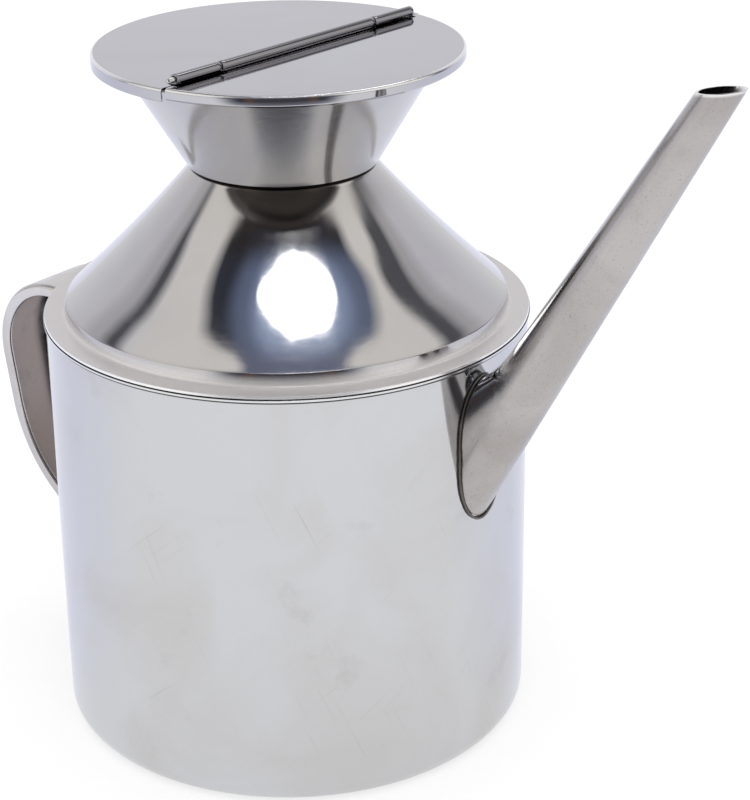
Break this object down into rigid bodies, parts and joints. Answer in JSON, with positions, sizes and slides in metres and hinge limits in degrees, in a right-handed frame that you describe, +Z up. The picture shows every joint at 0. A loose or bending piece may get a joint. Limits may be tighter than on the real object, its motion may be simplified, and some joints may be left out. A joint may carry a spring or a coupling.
{
  "type": "olive oil can",
  "caption": "Stainless steel oil can: cylindrical cup, conical shoulder, flared filling neck with a hinged half lid, long conical pouring spout and a channel strap handle.",
  "frame": {"origin": "middle of the cup's flat underside", "axes": "+Z up along the can's axis, +X towards the spout, -X towards the handle"},
  "size_m": [0.2037, 0.1108, 0.169],
  "materials": {
    "satin_stainless": "satin, light fingerprints and fine scratches",
    "polished_stainless": "mirror polished, fine turning marks",
    "lid_stainless": "polished flat sheet",
    "spout_stainless": "matt, rolled and lightly sanded",
    "strap_stainless": "satin outside, dull mill finish inside",
    "pin_wire": "bright drawn wire",
    "weld_bead": "dark, rough, unpolished weld"
  },
  "bodies": {
    "can": {"body_cup": "satin_stainless", "shoulder": "polished_stainless", "funnel_neck": "polished_stainless", "lid_fixed_half": "lid_stainless", "hinge_pin": "pin_wire", "spout": "spout_stainless", "spout_weld": "weld_bead", "handle": "strap_stainless", "handle_top_weld": "weld_bead", "handle_foot_weld": "weld_bead"},
    "flap": {"lid_flap": "lid_stainless"}
  },
  "joints": [
    {"name": "lid_hinge", "type": "hinge", "parent": "can", "child": "flap", "pos_m": [0.00549, -0.00029, 0.1609], "axis": [0.0523, 0.9986, 0], "range_deg": [0, 175]}
  ]
}
